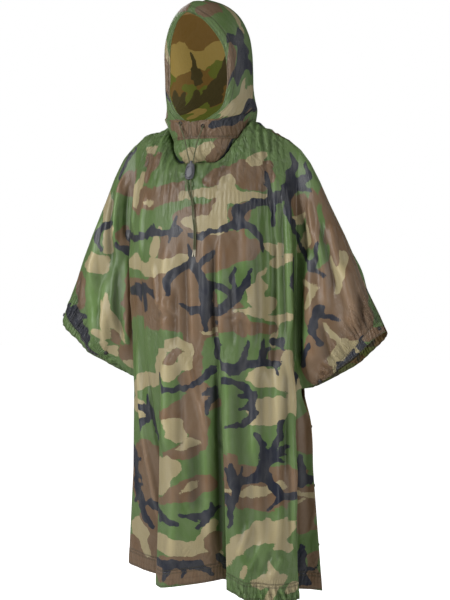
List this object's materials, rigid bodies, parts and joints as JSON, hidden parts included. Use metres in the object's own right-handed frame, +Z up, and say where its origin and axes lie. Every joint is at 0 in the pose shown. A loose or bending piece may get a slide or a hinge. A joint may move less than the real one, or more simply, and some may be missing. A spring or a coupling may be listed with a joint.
{
  "type": "rain poncho",
  "caption": "Hooded rain poncho in its hollow worn form, with open arm flaps, gathered hems, a hood drawcord and its lock.",
  "frame": {"origin": "between the wearer's shoulders, where the poncho is held up", "axes": "+Z up, -Y to the front, +X to the wearer's left"},
  "size_m": [0.908, 0.3303, 1.4256],
  "materials": {
    "camouflage_cloth": "coated ripstop weave with a soft satin shine, woodland camouflage of green, brown, tan and blue-black",
    "hem_cloth": "the same cloth, folded and gathered",
    "snap_metal": "blackened press studs and eyelets",
    "lock_plastic": "moulded dark grey plastic",
    "cord": "round braided olive cord"
  },
  "bodies": {
    "root": {"front_panel": "camouflage_cloth", "back_panel": "camouflage_cloth", "hood_left": "camouflage_cloth", "hood_right": "camouflage_cloth", "throat": "camouflage_cloth", "face_casing": "hem_cloth", "front_hem": "hem_cloth", "back_hem": "hem_cloth", "cuff_front_left": "hem_cloth", "cuff_back_left": "hem_cloth", "cuff_front_right": "hem_cloth", "cuff_back_right": "hem_cloth", "cuff_snap_left_1": "snap_metal", "cuff_snap_left_2": "snap_metal", "cuff_snap_right_1": "snap_metal", "cuff_snap_right_2": "snap_metal", "side_snap_left_1": "snap_metal", "side_snap_left_2": "snap_metal", "side_snap_left_3": "snap_metal", "side_snap_right_1": "snap_metal", "side_snap_right_2": "snap_metal", "side_snap_right_3": "snap_metal", "eyelet_left": "snap_metal", "eyelet_right": "snap_metal", "cord_lock": "lock_plastic", "cord_left": "cord", "cord_right": "cord", "knot": "cord"}
  },
  "joints": []
}
